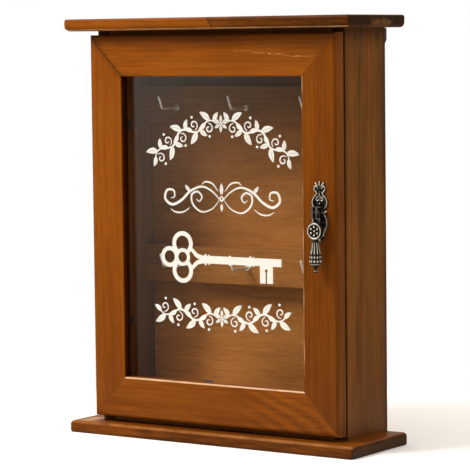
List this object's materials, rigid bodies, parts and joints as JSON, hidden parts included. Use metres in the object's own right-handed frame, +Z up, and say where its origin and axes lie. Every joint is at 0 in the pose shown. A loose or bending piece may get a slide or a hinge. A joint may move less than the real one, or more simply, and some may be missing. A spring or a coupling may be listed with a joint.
{
  "type": "key cabinet",
  "caption": "Wall key cabinet in stained pine with a glazed mitred door, hook rails and an antique-style drop pull.",
  "frame": {"origin": "centre of the base board's underside", "axes": "+X to the right as seen from the front, +Y from the door towards the wall, +Z up"},
  "size_m": [0.2644, 0.0848, 0.329],
  "materials": {
    "stained_pine": "orange-brown stained pine with fine straight grain and a satin varnish",
    "stained_back": "thin plywood panel with the same stain, slightly darker",
    "nickelled_hooks": "pale nickel-brass plating, slightly dulled",
    "plain_steel": "bare steel, dull",
    "zinc_screws": "zinc-plated steel",
    "brassed_hinge": "thin brass plating, satin",
    "black_steel": "black lacquer, semi-matt",
    "catch_plastic": "brown moulded plastic",
    "ferrite": "dark grey ferrite",
    "clear_glass": "clear 2 mm sheet glass with a light printed ornament",
    "antique_bronze": "dark antique bronze with bright rubbed high spots"
  },
  "bodies": {
    "cabinet": {"back_panel": "stained_back", "back_panel_pins": "plain_steel", "base_board": "stained_pine", "base_board_screws": "zinc_screws", "carcass_bottom_panel": "stained_pine", "carcass_top_panel": "stained_pine", "catch_housing": "catch_plastic", "catch_magnet": "ferrite", "catch_pole_plates": "plain_steel", "catch_screws": "plain_steel", "hanger_plate_screws": "black_steel", "hinge_cabinet_screws": "brassed_hinge", "hinge_pins": "brassed_hinge", "hook_rail_screws": "zinc_screws", "left_hanger_plate": "black_steel", "left_side_panel": "stained_pine", "lower_hinge_cabinet_leaf": "brassed_hinge", "lower_hook_rail": "stained_pine", "lower_key_hook_1": "nickelled_hooks", "lower_key_hook_2": "nickelled_hooks", "lower_key_hook_3": "nickelled_hooks", "right_hanger_plate": "black_steel", "right_side_panel": "stained_pine", "side_panel_pins": "plain_steel", "top_board": "stained_pine", "top_board_screws": "zinc_screws", "upper_hinge_cabinet_leaf": "brassed_hinge", "upper_hook_rail": "stained_pine", "upper_key_hook_1": "nickelled_hooks", "upper_key_hook_2": "nickelled_hooks", "upper_key_hook_3": "nickelled_hooks"},
    "door": {"door_left_stile": "stained_pine", "door_right_stile": "stained_pine", "door_top_rail": "stained_pine", "door_bottom_rail": "stained_pine", "glass_pane": "clear_glass", "glass_clips": "plain_steel", "glass_clip_screws": "plain_steel", "upper_hinge_door_leaf": "brassed_hinge", "lower_hinge_door_leaf": "brassed_hinge", "hinge_door_screws": "brassed_hinge", "strike_plate": "plain_steel", "strike_plate_screw": "plain_steel", "pull_backplate": "antique_bronze", "pull_plate_pins": "antique_bronze", "pull_post": "antique_bronze", "pull_washer": "zinc_screws", "pull_nut": "zinc_screws", "pull_pivot_pin": "antique_bronze"},
    "pendant": {"pull_pendant": "antique_bronze"}
  },
  "joints": [
    {"name": "door_hinge", "type": "hinge", "parent": "cabinet", "child": "door", "pos_m": [-0.1179, -0.01865, 0.1647], "axis": [0, 0, -1], "range_deg": [0, 180]},
    {"name": "pull_swing", "type": "hinge", "parent": "door", "child": "pendant", "pos_m": [0.0999, -0.03705, 0.1831], "axis": [-1, 0, 0], "range_deg": [-3, 120]}
  ]
}
